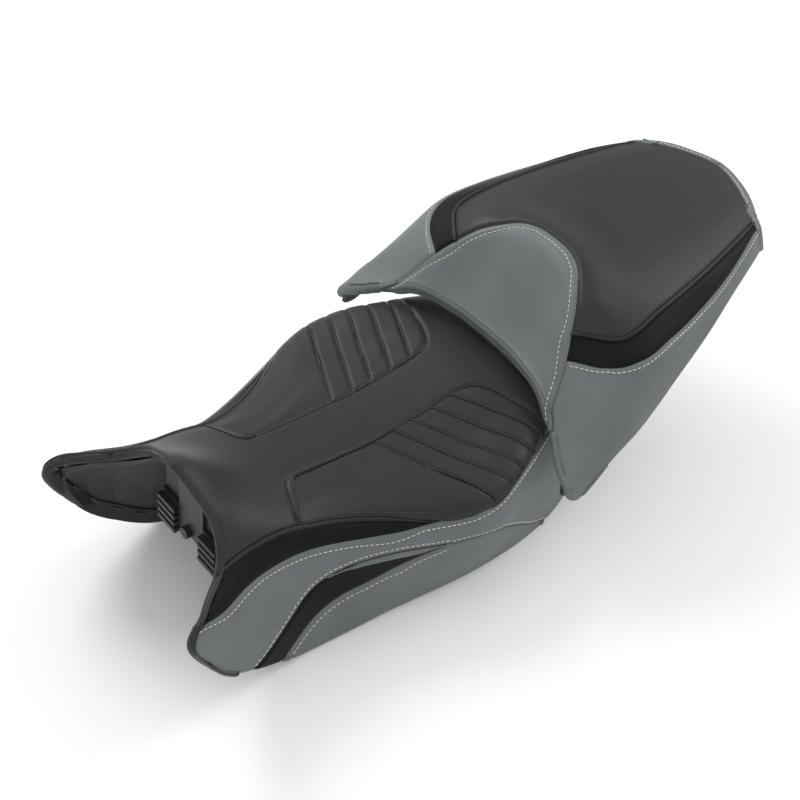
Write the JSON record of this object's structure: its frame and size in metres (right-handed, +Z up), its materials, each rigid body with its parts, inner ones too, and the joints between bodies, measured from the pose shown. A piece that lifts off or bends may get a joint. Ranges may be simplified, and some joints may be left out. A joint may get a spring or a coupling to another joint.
{
  "type": "motorcycle seat",
  "caption": "Two-piece motorcycle seat: a rider seat that arches over the tank and a tilting pillion seat with a bolster, sewn in black and grey panels.",
  "frame": {"origin": "centre of the bounding box in plan, at the height of the lower edge of the rider seat's base pan, on which the seat stands", "axes": "+X towards the nose (forward on the motorcycle), +Y to the rider's left, +Z up"},
  "size_m": [0.7647, 0.3492, 0.253],
  "materials": {
    "pan_plastic": "moulded black plastic with a fine texture",
    "foam": "moulded seat foam under the cover",
    "black_vinyl": "smooth satin black vinyl with a fine grain",
    "grey_vinyl": "blue-grey vinyl with a fine grain",
    "black_piping": "black vinyl piping over a cord",
    "black_rubber": "black rubber",
    "zinc_steel": "zinc-plated steel",
    "thread_light": "off-white bonded sewing thread",
    "thread_black": "black bonded sewing thread"
  },
  "bodies": {
    "rider_seat": {"rider_base_pan": "pan_plastic", "rider_foam": "foam", "rider_centre_cover": "black_vinyl", "rider_front_trim": "black_vinyl", "rider_feet": "black_rubber", "nose_bracket": "pan_plastic", "nose_stop": "black_rubber", "rear_tab_screws": "zinc_steel", "rider_staples": "zinc_steel", "rider_ribbed_insert_left": "black_vinyl", "rider_ribbed_insert_right": "black_vinyl", "rider_piping_left": "black_piping", "rider_piping_right": "black_piping", "rider_gusset_left": "black_vinyl", "rider_gusset_right": "black_vinyl", "rider_upper_flank_left": "grey_vinyl", "rider_upper_flank_right": "grey_vinyl", "rider_stripe_left": "black_vinyl", "rider_stripe_right": "black_vinyl", "rider_lower_flank_left": "grey_vinyl", "rider_lower_flank_right": "grey_vinyl", "rider_turned_hem_left": "black_vinyl", "rider_turned_hem_right": "black_vinyl", "nose_block_left": "black_rubber", "nose_block_right": "black_rubber", "rear_tab_left": "zinc_steel", "rear_tab_right": "zinc_steel"},
    "pillion_seat": {"pillion_base_pan": "pan_plastic", "pillion_foam": "foam", "pillion_bolster_cover": "grey_vinyl", "pillion_pad_cover": "black_vinyl", "pillion_tail_band": "grey_vinyl", "pillion_feet": "black_rubber", "latch_striker": "zinc_steel", "striker_plate": "zinc_steel", "striker_screws": "zinc_steel", "pillion_piping_left": "black_piping", "pillion_piping_right": "black_piping", "pillion_gusset_left": "black_vinyl", "pillion_gusset_right": "black_vinyl", "pillion_side_cover_left": "grey_vinyl", "pillion_side_cover_right": "grey_vinyl", "rear_hook_left": "pan_plastic", "rear_hook_right": "pan_plastic"}
  },
  "joints": [
    {"name": "pillion_tilt", "type": "hinge", "parent": "rider_seat", "child": "pillion_seat", "pos_m": [-0.345, 0, 0.196], "axis": [0, -1, 0], "range_deg": [0, 35]}
  ]
}
